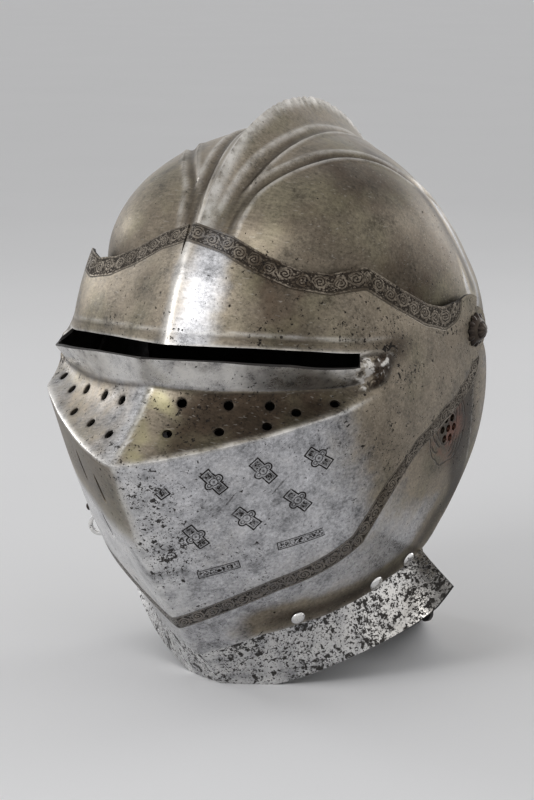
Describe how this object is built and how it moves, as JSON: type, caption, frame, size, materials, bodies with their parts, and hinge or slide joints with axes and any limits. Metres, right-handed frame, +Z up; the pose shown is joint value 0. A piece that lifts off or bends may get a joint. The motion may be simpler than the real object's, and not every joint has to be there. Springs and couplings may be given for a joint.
{
  "type": "close helmet",
  "caption": "Close helmet of etched and fluted plate: combed skull, sharp-prowed visor and bevor on shared temple pivots, with riveted neck lames and a hooked lock.",
  "frame": {"origin": "on the surface the helmet stands on, under the middle of its bounding box", "axes": "+Z up, -Y the way the wearer faces, +X the wearer's left"},
  "size_m": [0.2156, 0.2937, 0.2971],
  "materials": {
    "plate_steel": "old polish gone grey and brown, pitted, with dark etched bands",
    "dark_bronze": "blackened, rubbed bright on the high places"
  },
  "bodies": {
    "skull_body": {"skull": "plate_steel", "rear_neck_lame": "plate_steel", "rear_lame_rivets": "plate_steel", "pivot_bolt_left": "dark_bronze", "pivot_bolt_right": "dark_bronze", "pivot_rosette_left": "dark_bronze", "pivot_rosette_right": "dark_bronze", "pivot_nut_left": "plate_steel", "pivot_nut_right": "plate_steel"},
    "bevor_body": {"bevor": "plate_steel", "front_neck_lame": "plate_steel", "front_lame_rivets": "plate_steel", "lock_stud": "plate_steel"},
    "visor_body": {"visor": "plate_steel", "lock_hook_rivet": "dark_bronze"},
    "hook_body": {"lock_hook": "plate_steel"}
  },
  "joints": [
    {"name": "bevor_pivot", "type": "hinge", "parent": "skull_body", "child": "bevor_body", "pos_m": [0, 0.03902, 0.181], "axis": [-1, 0, 0], "range_deg": [0, 65]},
    {"name": "visor_pivot", "type": "hinge", "parent": "bevor_body", "child": "visor_body", "pos_m": [0, 0.03902, 0.181], "axis": [-1, 0, 0], "range_deg": [0, 60]},
    {"name": "hook_swivel", "type": "hinge", "parent": "visor_body", "child": "hook_body", "pos_m": [-0.07854, -0.04544, 0.0852], "axis": [0.8567, 0.4104, 0.3125], "range_deg": [0, 50]}
  ]
}
